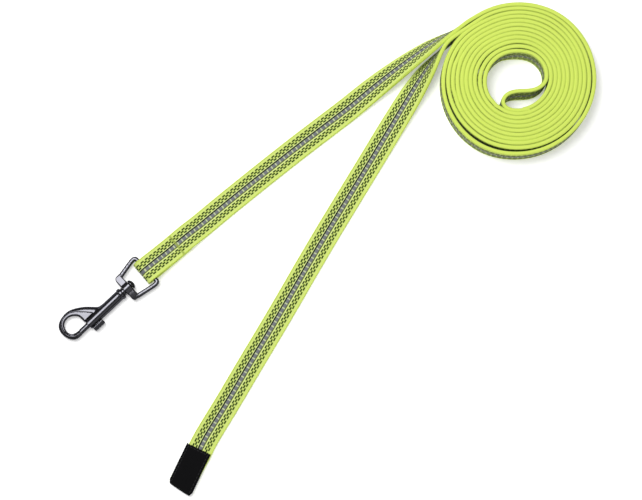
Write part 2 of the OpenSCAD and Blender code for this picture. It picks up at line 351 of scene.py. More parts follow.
def webbing_material():
    m, nt, bsdf = new_material("webbing")
    k = Nodes(nt)
    s = k.attribute("along")         # mm along the strap
    y = k.attribute("across")        # mm from the middle, on past 10 round the selvedge
    ay = k.math("ABSOLUTE", y)
    near = k.step(y, 0.0, 0.01)      # 1 on the half that leads by half a repeat
    rep = k.math("DIVIDE", s, PITCH)
    wob = k.math("MULTIPLY", k.math("SUBTRACT", k.noise(k.xyz(k.math("MULTIPLY", s, 0.35), y), 1.0, 2.0), 0.5), 0.16)

    def dash(phase, duty, soft=0.06):
        f = k.math("FRACT", k.up(rep, wob, k.math("MULTIPLY", near, 0.5), phase))
        d = k.math("ABSOLUTE", k.math("SUBTRACT", f, duty / 2))
        d = k.math("MINIMUM", d, k.math("ABSOLUTE", k.math("SUBTRACT", k.math("SUBTRACT", f, 1.0), duty / 2)))
        return k.math("SUBTRACT", 1.0, k.step(d, duty / 2, soft))
    marks = []
    for centre, phase in ROWS:
        marks.append(k.math("MULTIPLY", k.band(ay, centre, ROW_HALF, 0.3), dash(phase, DASH)))
    dashes = k.top(*marks)
    inked = k.math("SUBTRACT", 1.0, k.step(ay, 7.1, 0.3))
    ground = k.math("MULTIPLY", inked, k.step(ay, 2.9, 0.3))    # the darker ground between the dashes
    line_a = k.band(y, -1.80, 0.56, 0.2)
    line_b = k.math("MULTIPLY", k.band(y, 1.62, 0.40, 0.2), 0.85)
    lines = k.top(line_a, line_b)
    gleam = k.band(ay, 2.66, 0.26, 0.2)
    band = k.math("SUBTRACT", 1.0, k.step(ay, 1.26, 0.2))
    f2 = k.math("FRACT", k.up(rep, wob, 0.0))
    d2 = k.math("MINIMUM", k.math("ABSOLUTE", k.math("SUBTRACT", f2, 0.37)), k.math("ABSOLUTE", k.math("SUBTRACT", f2, 1.37)))
    grey = k.math("MULTIPLY", band, k.math("SUBTRACT", 1.0, k.step(d2, 0.37, 0.06)))

    # the weave: fine warp cords along the strap, crossed by the picks
    cord = k.math("MULTIPLY", k.math("ADD", k.math("SINE", k.math("MULTIPLY", y, 2 * math.pi / 0.62)), 1.0), 0.5)
    half = k.math("MULTIPLY", k.math("ROUND", k.math("DIVIDE", y, 0.62)), math.pi)
    pick = k.math("MULTIPLY", k.math("ADD", k.math("SINE", k.math("ADD", k.math("MULTIPLY", s, 2 * math.pi / 1.05), half)), 1.0), 0.5)
    weave = k.math("MULTIPLY", cord, k.math("ADD", k.math("MULTIPLY", pick, 0.65), 0.35))
    fuzz = k.noise(k.xyz(k.math("MULTIPLY", s, 1.2), k.math("MULTIPLY", y, 3.2)), 1.0, 4.0, 0.7)
    slow = k.noise(k.xyz(k.math("MULTIPLY", s, 0.045), k.math("MULTIPLY", y, 0.12)), 1.0, 2.0)
    rim = k.step(ay, 9.0, 0.5)                                   # the selvedge, a little deeper in colour
    turn = k.band(ay, 9.75, 0.32, 0.5)                           # the row of edge loops where it turns over, darkened as painted shade for the crease between wound turns
    edge_loop_shade_dots = k.math("MULTIPLY", k.math("ADD", k.math("SINE", k.math("MULTIPLY", s, 2 * math.pi / 1.42)), 1.0), 0.5)

    base = k.mix(slow, (0.60, 0.735, 0.165), (0.66, 0.775, 0.215))
    base = k.mix(rim, base, k.mix(slow, (0.63, 0.80, 0.100), (0.69, 0.845, 0.125)))
    base = k.mix(k.math("MULTIPLY", k.math("SUBTRACT", 1.0, weave), 0.30), base, (0.43, 0.55, 0.09))
    base = k.mix(k.math("MULTIPLY", k.step(fuzz, 0.55, 0.3), 0.24), base, (0.84, 0.93, 0.40))
    # painted shade: a dark dotted line at the selvedge's corner where wound turns meet, partly the real edge loops
    base = k.mix(k.math("MULTIPLY", k.math("MULTIPLY", turn, edge_loop_shade_dots), 0.45), base, (0.26, 0.37, 0.03))
    base = k.mix(k.math("MULTIPLY", ground, 0.22), base, (0.40, 0.50, 0.10))
    base = k.mix(k.math("MULTIPLY", gleam, 0.55), base, (0.80, 0.88, 0.45))
    dark = k.mix(fuzz, (0.008, 0.026, 0.0005), (0.046, 0.092, 0.003))
    col = k.mix(dashes, base, dark)
    refl = k.mix(k.noise(k.xyz(k.math("MULTIPLY", s, 2.5), k.math("MULTIPLY", y, 6.0)), 1.0, 2.0), (0.10, 0.108, 0.118), (0.21, 0.22, 0.24))
    bars = k.mix(fuzz, (0.34, 0.41, 0.20), (0.66, 0.72, 0.46))
    col = k.mix(band, col, bars)
    col = k.mix(grey, col, refl)
    col = k.mix(lines, col, k.mix(fuzz, (0.004, 0.009, 0.002), (0.02, 0.032, 0.010)))
    k.put(bsdf.inputs["Base Color"], col)
    rough = k.math("SUBTRACT", 0.86, k.math("MULTIPLY", grey, 0.42))
    k.put(bsdf.inputs["Roughness"], k.math("SUBTRACT", rough, k.math("MULTIPLY", dashes, 0.22)))
    bsdf.inputs["Sheen Weight"].default_value = 0.08
    bsdf.inputs["Sheen Roughness"].default_value = 0.5
    bsdf.inputs["Specular IOR Level"].default_value = 0.14
    height = k.up(k.math("MULTIPLY", weave, 0.55), k.math("MULTIPLY", fuzz, 0.3), k.math("MULTIPLY", dashes, 0.6))
    k.put(bsdf.inputs["Normal"], k.bump(height, 0.55, 0.00022))
    return m


def cloth_material():
    m, nt, bsdf = new_material("cap_cloth")
    k = Nodes(nt)
    c = k.coords((1000, 1000, 1000))
    sep = k.add("ShaderNodeSeparateXYZ")
    turn = k.add("ShaderNodeVectorRotate", rotation_type="Z_AXIS")
    turn.inputs["Angle"].default_value = -math.radians(64.4)
    nt.links.new(c, turn.inputs["Vector"])
    nt.links.new(turn.outputs[0], sep.inputs[0])
    a = k.math("SINE", k.math("MULTIPLY", sep.outputs[0], 2 * math.pi / 0.75))
    b = k.math("SINE", k.math("MULTIPLY", sep.outputs[1], 2 * math.pi / 0.6))
    weave = k.math("MULTIPLY", k.math("ADD", k.math("MULTIPLY", a, b), 1.0), 0.5)
    grain = k.noise(c, 1.1, 5.0, 0.65)
    dust = k.noise(c, 0.16, 3.0)
    col = k.mix(grain, (0.0012, 0.0012, 0.0014), (0.0050, 0.0050, 0.0058))
    col = k.mix(k.math("MULTIPLY", dust, 0.2), col, (0.010, 0.0095, 0.010))
    k.put(bsdf.inputs["Base Color"], col)
    k.put(bsdf.inputs["Roughness"], k.math("ADD", 0.82, k.math("MULTIPLY", grain, 0.14)))
    bsdf.inputs["Specular IOR Level"].default_value = 0.08
    bsdf.inputs["Sheen Weight"].default_value = 0.015
    k.put(bsdf.inputs["Normal"], k.bump(k.up(weave, grain), 0.5, 0.0002))
    return m


def thread_material(name, light, dark):
    m, nt, bsdf = new_material(name)
    k = Nodes(nt)
    c = k.coords((1000, 1000, 1000))
    wave = k.add("ShaderNodeTexWave", wave_type="BANDS", bands_direction="DIAGONAL")
    k.put(wave.inputs["Vector"], c)
    wave.inputs["Scale"].default_value = 1.6
    wave.inputs["Distortion"].default_value = 1.0
    k.put(bsdf.inputs["Base Color"], k.mix(wave.outputs["Fac"], dark, light))
    k.put(bsdf.inputs["Roughness"], k.math("ADD", 0.6, k.math("MULTIPLY", wave.outputs["Fac"], 0.2)))
    k.put(bsdf.inputs["Normal"], k.bump(wave.outputs["Fac"], 0.6, 0.0001))
    return m


def metal_material(name, low, high, rough, pits=0.12):
    m, nt, bsdf = new_material(name)
    k = Nodes(nt)
    c = k.coords((1000, 1000, 1000))
    cloud = k.noise(c, 0.22, 3.0)
    fine = k.noise(c, 2.6, 4.0, 0.6)
    scuff = k.noise(k.coords((2600, 420, 1500)), 1.0, 3.0, 0.7)
    k.put(bsdf.inputs["Base Color"], k.mix(cloud, low, high))
    bsdf.inputs["Metallic"].default_value = 1.0
    bsdf.inputs["Specular Tint"].default_value = (0.45, 0.45, 0.48, 1.0)
    r = k.up(rough, k.math("MULTIPLY", cloud, 0.06), k.math("MULTIPLY", k.step(scuff, 0.66, 0.2), 0.05))
    k.put(bsdf.inputs["Roughness"], r)
    k.put(bsdf.inputs["Normal"], k.bump(k.up(k.math("MULTIPLY", cloud, 1.0), k.math("MULTIPLY", fine, 0.25)), pits, 0.00022))
    return m


MAT = {
    "webbing": webbing_material(),
    "cap": cloth_material(),
    "tack": thread_material("tack_thread", (0.50, 0.60, 0.12), (0.34, 0.43, 0.07)),
    "cap_thread": thread_material("cap_thread", (0.022, 0.022, 0.024), (0.006, 0.006, 0.007)),
    "nickel": metal_material("black_nickel", (0.050, 0.050, 0.056), (0.064, 0.064, 0.072), 0.15, 0.012),
    "steel": metal_material("spring_steel", (0.42, 0.42, 0.44), (0.58, 0.58, 0.6), 0.22),
}


def dress(ob, mat, body, slot, *nodes):
    ob.data.materials.clear()
    ob.data.materials.append(MAT[mat])
    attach(ob, body)
    if nodes:
        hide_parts(*nodes)
    return ob


# ---------------------------------------------------------------- camera, light, floor
LENS_PX, WIDTH_PX, DIST = 1800.0, 642.0, 1.440
TILT = math.radians(82.5)
cam = bpy.data.objects.new("camera", bpy.data.cameras.new("camera"))
scene.collection.objects.link(cam)
cam.data.sensor_width = 36.0
cam.data.lens = 36.0 * LENS_PX / WIDTH_PX
target = Vector((SHIFT[0] * MM, SHIFT[1] * MM, 0.0))
back = Vector((0.0, -math.cos(TILT), math.sin(TILT)))
cam.location = target + back * DIST
cam.rotation_mode = "QUATERNION"
cam.rotation_quaternion = (-back).to_track_quat("-Z", "Y")
cam.data.clip_start, cam.data.clip_end = 0.05, 50.0
scene.camera = cam

world = bpy.data.worlds.new("studio")
scene.world = world
world.use_nodes = True
wn = world.node_tree
bg = wn.nodes["Background"]
tc = wn.nodes.new("ShaderNodeTexCoord")
sepw = wn.nodes.new("ShaderNodeSeparateXYZ")
ramp = wn.nodes.new("ShaderNodeValToRGB")
wn.links.new(tc.outputs["Generated"], sepw.inputs[0])
wn.links.new(sepw.outputs["Z"], ramp.inputs[0])
ramp.color_ramp.elements[0].position = 0.0
ramp.color_ramp.elements[0].color = (0.20, 0.20, 0.215, 1)
ramp.color_ramp.elements[1].position = 0.75
ramp.color_ramp.elements[1].color = (1.0, 1.0, 1.0, 1)
wn.links.new(ramp.outputs[0], bg.inputs["Color"])
bg.inputs["Strength"].default_value = 0.42


def area(name, loc, size, power, aim=(0, 0, 0)):
    light = bpy.data.lights.new(name, "AREA")
    light.shape = "RECTANGLE"
    light.size, light.size_y = size
    light.energy = power
    ob = bpy.data.objects.new(name, light)
    scene.collection.objects.link(ob)
    ob.location = loc
    ob.rotation_mode = "QUATERNION"
    ob.rotation_quaternion = (Vector(aim) - Vector(loc)).to_track_quat("-Z", "Y")
    return ob


area("key", (-0.40, 0.38, 1.46), (0.62, 0.90), 20.5, (-0.04, 0.0, 0.0))
area("fill", (0.9, -0.9, 1.1), (0.9, 0.9), 1.3)

fm, fnt, fb = new_material("floor")
fkn = Nodes(fnt)
fkn.put(fb.inputs["Base Color"], fkn.mix(fkn.noise(fkn.coords((3, 3, 3)), 1.0), (0.90, 0.90, 0.905), (0.915, 0.915, 0.92)))
fb.inputs["Roughness"].default_value = 0.75
fb.inputs["Specular IOR Level"].default_value = 0.2
fb.inputs["Emission Color"].default_value = (1.0, 1.0, 1.0, 1.0)
fb.inputs["Emission Strength"].default_value = 0.34
floor = mesh_object("floor", [(-6000, -6000, 0), (6000, -6000, 0), (6000, 6000, 0), (-6000, 6000, 0)], [(0, 1, 2, 3)], False)
floor.data.materials.append(fm)
scene.view_settings.view_transform = "Standard"

# ---------------------------------------------------------------- the strap's route
# Radii of the wound turns' middle lines, in mm from the coil's centre, every 30 degrees from 0.
# Turns are counted outwards from the open eye; the two strands alternate.
EDGES = {  # first turn's number, inner edge of each turn and the outer edge of the last
    0: (0, [19.5, 23.1, 26.8, 30.2, 33.5, 36.8, 40.1, 43.7, 46.8, 50.2, 53.6, 57.3, 61.2]),
    30: (0, [21.1, 24.8, 28.3, 31.7, 35.2, 38.4, 41.6, 45.1, 48.5, 51.8, 55.1, 58.5, 62.3]),
    60: (0, [21.9, 25.4, 29.1, 32.4, 35.8, 39.3, 42.7, 46.1, 49.8, 53.3, 56.8, 60.1, 63.5]),
    90: (0, [21.8, 25.3, 29.6, 33.2, 36.6, 39.9, 43.6, 46.8, 50.3, 53.5, 57.0, 60.2, 63.5]),
    120: (0, [23.3, 26.7, 30.4, 34.0, 37.6, 41.1, 44.4, 47.7, 50.8, 53.9, 57.1, 60.3, 63.7]),
    150: (0, [24.9, 28.5, 32.7, 36.7, 40.1, 43.5, 47.1, 50.4, 53.9, 57.2, 60.8]),
    180: (0, [26.4, 30.2, 34.3, 38.1, 41.4, 44.8, 48.2, 52.0, 55.6, 59.2, 63.0]),
    210: (0, [27.2, 30.7, 34.2, 37.7, 41.3, 44.9, 48.4, 52.0, 55.6, 59.6, 63.9]),
    240: (0, [26.9, 30.5, 33.9, 37.3, 40.9, 44.3, 47.7, 51.3, 54.9, 59.0, 63.9]),
    270: (-1, [23.2, 26.5, 29.7, 33.0, 36.5, 39.9, 43.3, 46.9, 50.1, 53.4, 57.3, 61.8]),
    300: (-1, [22.1, 25.3, 28.8, 32.1, 35.6, 39.1, 42.3, 45.7, 49.1, 52.7, 56.4, 60.4]),
    330: (-1, [21.7, 25.5, 29.0, 32.4, 35.8, 39.2, 42.6, 45.8, 49.3, 52.8, 56.6, 60.3]),
}
RADII = {}
for ang, (n0, e) in EDGES.items():
    c = [(a + b) / 2 for a, b in zip(e[:-1], e[1:])]
    c[-1] = e[-1] - 1.65
    for i in range(len(c) - 2, -1, -1):
        c[i] = min(c[i], c[i + 1] - 3.3)
    for i, r in enumerate(c):
        RADII[(ang, n0 + i)] = r


def strand(kind, start, end):
    """Points (x, y) of one strand from angle start to end in degrees, outwards anticlockwise."""
    out = []
    for a in range(start, end + 1, 30):
        turn, ang = divmod(a, 360)
        out.append((a, RADII[(ang, 2 * turn + kind)]))
    a = np.array(out, float)
    fine = catmull(a, 10)
    t = np.radians(fine[:, 0])
    return np.stack([fine[:, 1] * np.cos(t), fine[:, 1] * np.sin(t)], 1) + COIL[:2]


A = strand(0, 0, 1920)            # from the S in the eye out to the free end's exit
B = strand(1, -90, 1920)          # out to the hook end's exit
bight = np.array([(10.1, -23.6), (-0.5, -25.4), (-8.0, -24.9), (-12.6, -22.6), (-14.3, -19.4), (-13.9, -16.2), (-11.5, -12.6), (-7.1, -10.1), (-1.1, -9.1),
                  (5.8, -9.2), (11.8, -8.4), (17.3, -5.7), (20.4, -2.2)]) + COIL[:2]

HOOK_ROUTE = [(-109.1, 8.6, 0, 3.0), (-103, 13.8, 0, 1.6), (-97, 18.7, 0, 0.2), (-78.6, 34.3, 0, 0), (-58.7, 50.7, 0, 0), (-39, 66.7, 0, 0),
              (-19, 82.7, 0, 0), (1.5, 98.6, 0, 0), (21.9, 114.4, 2, 0), (40, 129.1, 12, 0), (55.9, 141.4, 25, 0), (71.8, 153.1, 39, 0), (87.5, 164.1, 54, 0),
              (97.5, 170.5, 67, 0), (107.3, 176.4, 79, 0), (117.2, 182.6, 88, 0)]
END_ROUTE = [(-110.4, -187.6, 0, 0.8), (-104.0, -175.7, 0, 0.8), (-96.3, -161.4, 0, 0.8), (-90.1, -148.9, 0, 0.2), (-73.7, -121.7, 0, 0), (-58.0, -94.8, 0, 0),
             (-42.1, -68.0, 0, 0), (-26.4, -41.1, 0, 0), (-10.9, -14, 0, 0), (5, 13.2, 0, 0), (21.7, 41, 0, 0), (38.6, 69, 1, 0), (55.2, 96.6, 6, 0),
             (70, 120.8, 19, 0), (80.2, 136.8, 38, 0), (88.1, 148.3, 58, 0), (94.9, 158, 78, 0), (100.9, 165.4, 89, 0), (107.9, 171.0, 90, 0), (116.2, 176.7, 90, 0)]


def station(x, y, lean, lift, side):
    z = lift + W_STRAP / 2 * math.sin(math.radians(lean)) + T_STRAP / 2 * math.cos(math.radians(lean))
    return [x, y, z, lean, side]


stations = []                     # x, y, z, lean, side (+1: the raised edge is on the right of travel, -1 on the left)
e_loop = np.array([math.cos(LOOP_A), math.sin(LOOP_A)])
loop_pts = []
for s in np.linspace(39, 2, 16):
    loop_pts.append((s, 1.5))
for a in np.linspace(-90, -270, 25):
    loop_pts.append((3.5 * math.cos(math.radians(a)), 5 + 3.5 * math.sin(math.radians(a))))
for s in np.linspace(2, 28, 14):
    t = s / 28
    loop_pts.append((s, 8.5 - 4.0 * t * t * (3 - 2 * t)))
for s in (31, 34, 37):
    loop_pts.append((s, 4.5))
loop_pts = np.array(loop_pts)
P_loop = np.column_stack([LOOP[0] + loop_pts[:, 0] * e_loop[0], LOOP[1] + loop_pts[:, 0] * e_loop[1], loop_pts[:, 1]])

for x, y, lean, lift in HOOK_ROUTE:
    stations.append(station(x + SHIFT[0], y + SHIFT[1], lean, lift, 1))
hook_run = catmull(stations, 12)
on_edge = np.vstack([B[::-1], bight, A])


def on_edge_station(p):
    """On edge, but the open eye's strap leans so that its lower edge lies a little nearer the hook side."""
    q = p - COIL[:2]
    r, a = math.hypot(*q), math.degrees(math.atan2(q[1], q[0])) % 360
    if r < 21.0 and q[1] < 0 and -15.5 < q[0] < 20:
        k = math.sin(math.pi * (q[0] + 15.5) / 35.5) ** 0.7
        return [p[0], p[1] - 1.25 * k, W_STRAP / 2, 90 + 7.5 * k, 1]
    if r < 25.0 and 25 < a < 155:
        k = math.sin(math.pi * (a - 25) / 130)
        out = q / r
        return [p[0] - 0.7 * k * out[0], p[1] - 0.7 * k * out[1], W_STRAP / 2, 90 - 4 * k, 1]
    return [p[0], p[1], W_STRAP / 2, 90, 1]


mid_st = [on_edge_station(p) for p in on_edge]
end_st = [station(x + SHIFT[0], y + SHIFT[1], lean, lift, -1) for x, y, lean, lift in END_ROUTE][::-1]
end_run = catmull(end_st, 12)


def resample(p, step):
    d = np.linalg.norm(np.diff(p[:, :3], axis=0), axis=1)
    keep = np.concatenate([[True], d > 1e-6])
    p = p[keep]
    s = np.concatenate([[0], np.cumsum(np.linalg.norm(np.diff(p[:, :3], axis=0), axis=1))])
    t = np.arange(0, s[-1], step)
    return np.column_stack([np.interp(t, s, p[:, i]) for i in range(p.shape[1])])


def blur(p, n, cols=(0, 1, 2, 3)):
    """Evens out the route, with its ends held."""
    p = p.copy()
    for _ in range(n):
        q = p.copy()
        for c in cols:
            q[1:-1, c] = 0.25 * p[:-2, c] + 0.5 * p[1:-1, c] + 0.25 * p[2:, c]
        p = q
    return p


loop5 = np.column_stack([P_loop, np.zeros(len(P_loop)), np.ones(len(P_loop))])
body = np.vstack([hook_run, mid_st])
body = np.vstack([body, end_run])
route = resample(np.vstack([loop5, body]), 0.5)
n_loop = int(np.argmin(np.abs(route[:, 0] - stations[0][0]) + np.abs(route[:, 2] - 4.5) * 3))
cut = 200
tail = resample(np.vstack([loop5, body]), 0.5)
soft = blur(tail, 60)
wgt = np.clip((np.arange(len(tail)) - 150) / 60.0, 0, 1)[:, None]
wend = np.clip((len(tail) - 1 - np.arange(len(tail))) / 40.0, 0, 1)[:, None]
route = tail * (1 - wgt * wend) + soft * (wgt * wend)
route = resample(route, 0.5)
sr = np.concatenate([[0], np.cumsum(np.linalg.norm(np.diff(route[:, :3], axis=0), axis=1))])
LENGTH = float(sr[-1])
tan = np.gradient(route[:, :3], axis=0)
tan /= np.linalg.norm(tan, axis=1)[:, None]
flat_t = tan.copy()
# round the fold the strap stays square to the loop's own direction
fold_n = int(np.searchsorted(sr, 39 + 3.5 * math.pi + 36))
flat_t[:fold_n] = [e_loop[0], e_loop[1], 0.0]
flat_t[:, 2] = 0
flat_t /= np.linalg.norm(flat_t, axis=1)[:, None]
right = np.column_stack([flat_t[:, 1], -flat_t[:, 0], np.zeros(len(flat_t))])
lean = np.radians(route[:, 3])
wide = np.cos(lean)[:, None] * right * np.sign(route[:, 4])[:, None] + np.sin(lean)[:, None] * Z
wide -= (wide * tan).sum(1)[:, None] * tan
wide /= np.linalg.norm(wide, axis=1)[:, None]
norm_ = np.cross(wide, tan)


# rings: four to a repeat of the pattern where the face shows, fewer inside the winding
def ring_positions():
    total = LENGTH
    cyc = np.array([0.0, 0.12, 0.5, 0.62]) * PITCH
    full = (np.arange(int(total / PITCH) + 1)[:, None] * PITCH + cyc[None, :]).ravel()
    full = full[(full > 0.4) & (full < total - 0.4)]
    x, y, z = (np.interp(full, sr, route[:, i]) for i in range(3))
    r = np.hypot(x - COIL[0], y - COIL[1])
    hidden = (r < 55.0) & (r > 27.5) & (full > 350)
    idx = (full / PITCH).astype(int)
    keep = ~hidden | ((np.abs(full - idx * PITCH) < 1e-6))
    return np.concatenate([[0.0], full[keep], [total]])


S = ring_positions()


def along(a):
    return np.column_stack([np.interp(S, sr, a[:, i]) for i in range(a.shape[1])])


P, T_, W_, N_ = along(route[:, :3]), along(tan), along(wide), along(norm_)
W_ /= np.linalg.norm(W_, axis=1)[:, None]
N_ = np.cross(W_, T_)
N_ /= np.linalg.norm(N_, axis=1)[:, None]

# section: nodes across one face, round the selvedge and back
half_y = [0.0, 0.62, 1.2, 1.38, 2.0, 2.3, 2.95, 3.12, 3.98, 4.15, 4.4, 4.57, 5.43, 5.6, 5.87, 6.04, 6.9, 7.07, 7.7, 8.6, 9.15]
face_y = [-v for v in half_y[::-1]][:-1] + half_y
TH = 3.2 / 2
RND = 0.85
sel = []
for a in np.linspace(90, -90, 9):
    sel.append((W_STRAP / 2 - RND + RND * math.cos(math.radians(a)), (TH if a > 0 else -TH if a < 0 else 0.0) if abs(a) == 90 else (TH - 0.0) * math.sin(math.radians(a))))
section = []                      # (y, t, face: 1 top, -1 under, 0 selvedge, painted y)
for yv in face_y:
    section.append((yv, TH, 1, yv))
per = 0.0
prev = (half_y[-1], TH)
for i, (yv, tv) in enumerate(sel):
    per += math.hypot(yv - prev[0], tv - prev[1])
    prev = (yv, tv)
    section.append((yv, tv, 0, half_y[-1] + per))
for yv in face_y[::-1]:
    section.append((yv, -TH, -1, yv))
per = 0.0
prev = (-half_y[-1], -TH)
for i, (yv, tv) in enumerate(sel[::-1]):
    per += math.hypot(-yv - prev[0], tv - prev[1])
    prev = (-yv, tv)
    section.append((-yv, tv, 0, -half_y[-1] - per))
sec = np.array(section)
ns, nr = len(sec), len(S)
rep = S / PITCH


def raised(y):
    """Height of the grip yarns over the ground at each ring, for one place across."""
    out = np.zeros(nr)
    ay = abs(y)
    lead = 0.5 if y > 0 else 0.0
    for centre, phase in ROWS:
        if abs(ay - centre) <= 0.44:
            f = np.mod(rep + lead + phase, 1.0)
            up = (f > 0.06) & (f < 0.56)
            out = np.where(up, 0.22, out)
    if ay < 1.3:
        f = np.mod(rep, 1.0)
        out = np.where((f > 0.06) & (f < 0.56) & (ay < 1.0), 0.10, out)
    if 1.35 < ay < 2.05:
        out = out - 0.10
    if 2.4 <= ay <= 3.1:
        out = out + 0.02
    return out


# wound turns press on each other and fill the room between them
plump = np.ones(nr)
for i0 in range(0, nr, 500):
    d = np.hypot(P[i0:i0 + 500, None, 0] - P[None, :, 0], P[i0:i0 + 500, None, 1] - P[None, :, 1])
    d[np.abs(S[i0:i0 + 500, None] - S[None, :]) < 60] = 99
    gap = d.min(1)
    plump[i0:i0 + 500] = np.where(gap < 4.0, np.clip((gap - 0.04) / 3.2, 1.0, 1.11), 1.0)
plump[(S < 420) | (S > LENGTH - 520)] = 1.0
plump = np.convolve(np.pad(plump, 6, "edge"), np.ones(13) / 13, "valid")

rng = np.random.default_rng(7)
wave = np.convolve(rng.normal(size=nr + 60), np.ones(41) / 41, "same")[:nr] * 0.35
verts = np.zeros((nr, ns, 3))
for j in range(ns):
    yv, tv, face, painted = sec[j]
    t = np.full(nr, tv)
    if face:
        t = t + face * (raised(yv) - 0.14)
    # the thickness scaled up where wound turns press on their neighbours
    t = t * plump
    yy = yv * (1 + 0.004 * wave)
    verts[:, j] = P + W_ * yy[:, None] + N_ * t[:, None]
verts = verts.reshape(-1, 3)
verts[:, 2] = np.maximum(verts[:, 2], 0.02)
i, j = np.meshgrid(np.arange(nr - 1), np.arange(ns), indexing="ij")
a, b = (i * ns + j).ravel(), (i * ns + (j + 1) % ns).ravel()
quads = np.column_stack([a, b, b + ns, a + ns])
faces = [tuple(q) for q in quads]
faces.append(tuple(range(ns))[::-1])
faces.append(tuple((nr - 1) * ns + np.arange(ns)))
strap = mesh_object("webbing_strap", verts, faces)
at_s = strap.data.attributes.new("along", "FLOAT", "POINT")
at_s.data.foreach_set("value", np.repeat(S, ns).astype(np.float32))
at_y = strap.data.attributes.new("across", "FLOAT", "POINT")
at_y.data.foreach_set("value", np.tile(sec[:, 3], nr).astype(np.float32))
dress(strap, "webbing", "strap", "webbing", "strap_loop", "strap_hook_run", "strap_coil", "strap_bight", "strap_end_run")
print("strap length", round(LENGTH, 1), "mm, rings", nr, "quads", len(faces))

# ---------------------------------------------------------------- snap: hook body
OUTER = [(19.5, 3.6), (15.3, 5.4), (11.5, 9.1), (7.7, 12.7), (3, 16), (-1.7, 18.4), (-5.6, 19.3), (-9.4, 19.2), (-13.3, 18.3), (-16.7, 16.5),
         (-18.8, 14.1), (-19.8, 11.4), (-20, 8.5), (-19.7, 5.6), (-18.9, 3), (-17.5, 0.7), (-15.6, -1.2), (-13.1, -2.2), (-10.7, -2.4), (-8.4, -2.4), (-4.4, -2.4)]
INNER = [(-4.4, 2.1), (-8.4, 2.1), (-9.8, 2.15), (-11.4, 2.4), (-12.9, 2.9), (-14.1, 3.8), (-15.2, 5.2), (-15.8, 6.9), (-15.7, 8.7), (-15.2, 10.4), (-14.6, 12),
         (-13.5, 13.4), (-12, 14.4), (-10.4, 14.9), (-8.6, 15.1), (-6.9, 14.9), (-4.4, 13.8), (-2.2, 11.9), (-1, 10), (-0.6, 7), (-0.6, 3.8)]
RIB = [(9, 4.8), (8.1, 5.7), (5.4, 8.9), (2.5, 11.9), (0.2, 14.2), (-2.2, 15.9), (-4.4, 16.9), (-6.7, 17.4), (-8.7, 17.5), (-10.7, 17.2),
       (-12.6, 16.4), (-14.2, 15.2), (-15.6, 13.4), (-16.5, 11.2), (-17.0, 8.6), (-16.7, 5.8), (-15.6, 3.4), (-14.0, 1.9)]
ring_poly = np.vstack([catmull(OUTER, 5), catmull(INNER, 5), [(1.5, 3.4), (1.5, 0.5), (19.5, 0.5)]])
web_poly = np.vstack([catmull(RIB, 5), [(-12, 2.6), (-8, 3.4), (-1, 3.4), (6, 2.4), (9, 3)]])
ring_plan, web_plan = Plan(ring_poly), Plan(web_poly)


def hook_sdf(p):
    w = np.abs(p[:, 2])
    depth = -ring_plan(p)
    h, r = 2.5, 4.4
    ring = (np.hypot(np.maximum(r - depth, 0) / r, w / h) - 1) * h
    nose_cut = block(p, (-4.2, 0.2, 0), (4.1, 3.2, 4.0))
    ring = np.maximum(ring, -nose_cut)
    pocket = np.maximum(web_plan(p), 1.3 - w)
    ring = smax(ring, -pocket, 0.5)
    barrel = tube_u(p, 0, 34.6, 4.25, 0.45)
    d = smin(ring, barrel, 1.1)
    collar = tube_u(p, 34.2, 37.1, 4.8, 0.9)
    groove = np.hypot(np.hypot(p[:, 1], p[:, 2]) - 4.55, p[:, 0] - 33.7) - 0.42
    d = smax(d, -groove, 0.25)
    d = smin(d, collar, 0.3)
    d = smin(d, tube_u(p, 36.5, 38.9, 3.5, 0.3), 0.4)
    bore = np.maximum(np.hypot(p[:, 1], p[:, 2]) - 2.3, np.abs(p[:, 0] - 14.1) - 15.1)
    d = smax(d, -bore, 0.35)
    slot = block(p, (10.4, -4.3, 0), (7.3, 3.1, 1.5), 0.5)
    return smax(d, -slot, 0.3)


hook = sdf_mesh("snap_hook_body", hook_sdf, (-21.2, -5.6, -5.3), (39.6, 20.4, 5.3), 0.3)
dress(hook, "nickel", "hook", "black_nickel", "hook_body")


def rivet_sdf(p):
    q = np.hypot(p[:, 1], p[:, 2])
    dome = np.maximum(np.hypot(np.hypot(p[:, 1], p[:, 2]), p[:, 0] - 43.6) - 5.3, 45.85 - p[:, 0])
    dome = smax(dome, q - 4.0, 0.5)
    dimple = np.hypot(q, p[:, 0] - 49.3) - 0.75
    dome = smax(dome, -dimple, 0.4)
    return smin(dome, tube_u(p, 29, 46.5, 2.28, 0.2), 0.3)


rivet = sdf_mesh("swivel_rivet_head", rivet_sdf, (28.4, -4.8, -4.8), (49.9, 4.8, 4.8), 0.25)
dress(rivet, "nickel", "hook", "black_nickel", "swivel_rivet")


ARM = catmull([(43.8, 10.3, 1.9), (50, 11.5, 1.85), (56.5, 12.75, 1.8), (60.6, 13.35, 1.8), (62.8, 12.7, 1.75), (63.3, 10.6, 1.7), (63.3, 5, 1.65), (63.3, 0, 1.65)], 2)


def eye_sdf(p):
    q = p.copy()
    q[:, 1] = np.abs(q[:, 1])
    off = p[:, 1] - 0.5
    sunk = p.copy()
    sunk[:, 1] = off
    sunk[:, 2] = np.abs(p[:, 2]) + 0.0075 * off * off
    bar = block(sunk, (42.35, 0, 0), (3.05, 12.1, 2.8), 0.9)
    cut = (q[:, 0] - 39.3) * -0.75 + (q[:, 1] - 10.3) * 0.66      # the base's outer corners are cut back
    bar = smax(bar, cut, 0.8)
    d = smin(bar, tube_u(q, 39.2, 45.5, 4.35, 0.5), 0.9)
    for a, b in zip(ARM[:-1], ARM[1:]):
        d = smin(d, capsule(q, (a[0], a[1], 0), (b[0], b[1], 0), a[2], b[2], 2.7), 0.3)
    hole = np.hypot(p[:, 1], p[:, 2]) - 2.38
    return smax(d, -hole, 0.2)


eye = sdf_mesh("swivel_eye_cast", eye_sdf, (38.2, -16.4, -5.3), (66, 16.4, 5.3), 0.3)
dress(eye, "nickel", "eye", "black_nickel", "swivel_eye")


